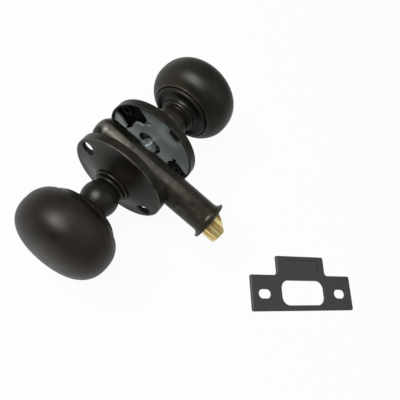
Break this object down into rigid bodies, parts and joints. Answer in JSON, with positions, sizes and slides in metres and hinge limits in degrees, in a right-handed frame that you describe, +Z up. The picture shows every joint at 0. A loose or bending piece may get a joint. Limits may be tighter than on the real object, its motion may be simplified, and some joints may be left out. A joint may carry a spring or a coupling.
{
  "type": "knob door latch",
  "caption": "Round door knobs on ball necks with dished roses, turning a spring bolt with a bevelled nose in a tubular latch, and its T-shaped strike plate.",
  "frame": {"origin": "where the knobs' common axis crosses the latch tube's axis, in the middle of the door", "axes": "+X along the latch tube towards the bolt's nose; +Y along the knob axis towards the rear knob; +Z up, square to both"},
  "size_m": [0.1845, 0.1346, 0.0508],
  "materials": {
    "bronze_finish": "dark brown satin coating, like oil-rubbed bronze",
    "strike_finish": "dark grey satin coating",
    "zinc_plated_steel": "dull zinc plating",
    "spring_steel": "plain spring steel",
    "bolt_brass": "smooth brass"
  },
  "bodies": {
    "case": {"latch_tube": "bronze_finish", "front_hub_bush": "zinc_plated_steel", "rear_hub_bush": "zinc_plated_steel", "stop_disc": "zinc_plated_steel", "bolt_spring": "spring_steel", "front_rose": "bronze_finish", "rear_rose": "bronze_finish", "front_star_plate": "zinc_plated_steel", "rear_star_plate": "zinc_plated_steel", "front_thrust_washer": "zinc_plated_steel", "rear_thrust_washer": "zinc_plated_steel", "strike_plate": "strike_finish"},
    "knobs": {"spindle": "zinc_plated_steel", "hub": "zinc_plated_steel", "front_knob": "bronze_finish", "rear_knob": "bronze_finish", "front_knob_back": "bronze_finish", "rear_knob_back": "bronze_finish", "front_neck": "bronze_finish", "rear_neck": "bronze_finish", "front_retaining_ring": "spring_steel", "rear_retaining_ring": "spring_steel"},
    "draw": {"draw_bar": "zinc_plated_steel", "draw_rod": "zinc_plated_steel"},
    "bolt": {"latch_bolt": "bolt_brass", "bolt_collar": "bolt_brass"}
  },
  "joints": [
    {"name": "knob_turn", "type": "hinge", "parent": "case", "child": "knobs", "pos_m": [0, 0, 0], "axis": [0, -1, 0], "range_deg": [0, 63], "stiffness_Nm_per_rad": 0.035, "springref_deg": -85.94},
    {"name": "draw_bar_slide", "type": "slide", "parent": "case", "child": "draw", "axis": [1, 0, 0], "range_m": [-0.0073, 0], "deforming": ["bolt_spring"]},
    {"name": "bolt_slide", "type": "slide", "parent": "draw", "child": "bolt", "axis": [1, 0, 0], "range_m": [-0.0082, 0], "stiffness_N_per_m": 120, "springref_m": 0.0125, "deforming": ["bolt_spring"]}
  ],
  "couplings": [
    {"joint": "draw_bar_slide", "follows": "knob_turn", "m_per_rad": -0.006457}
  ]
}
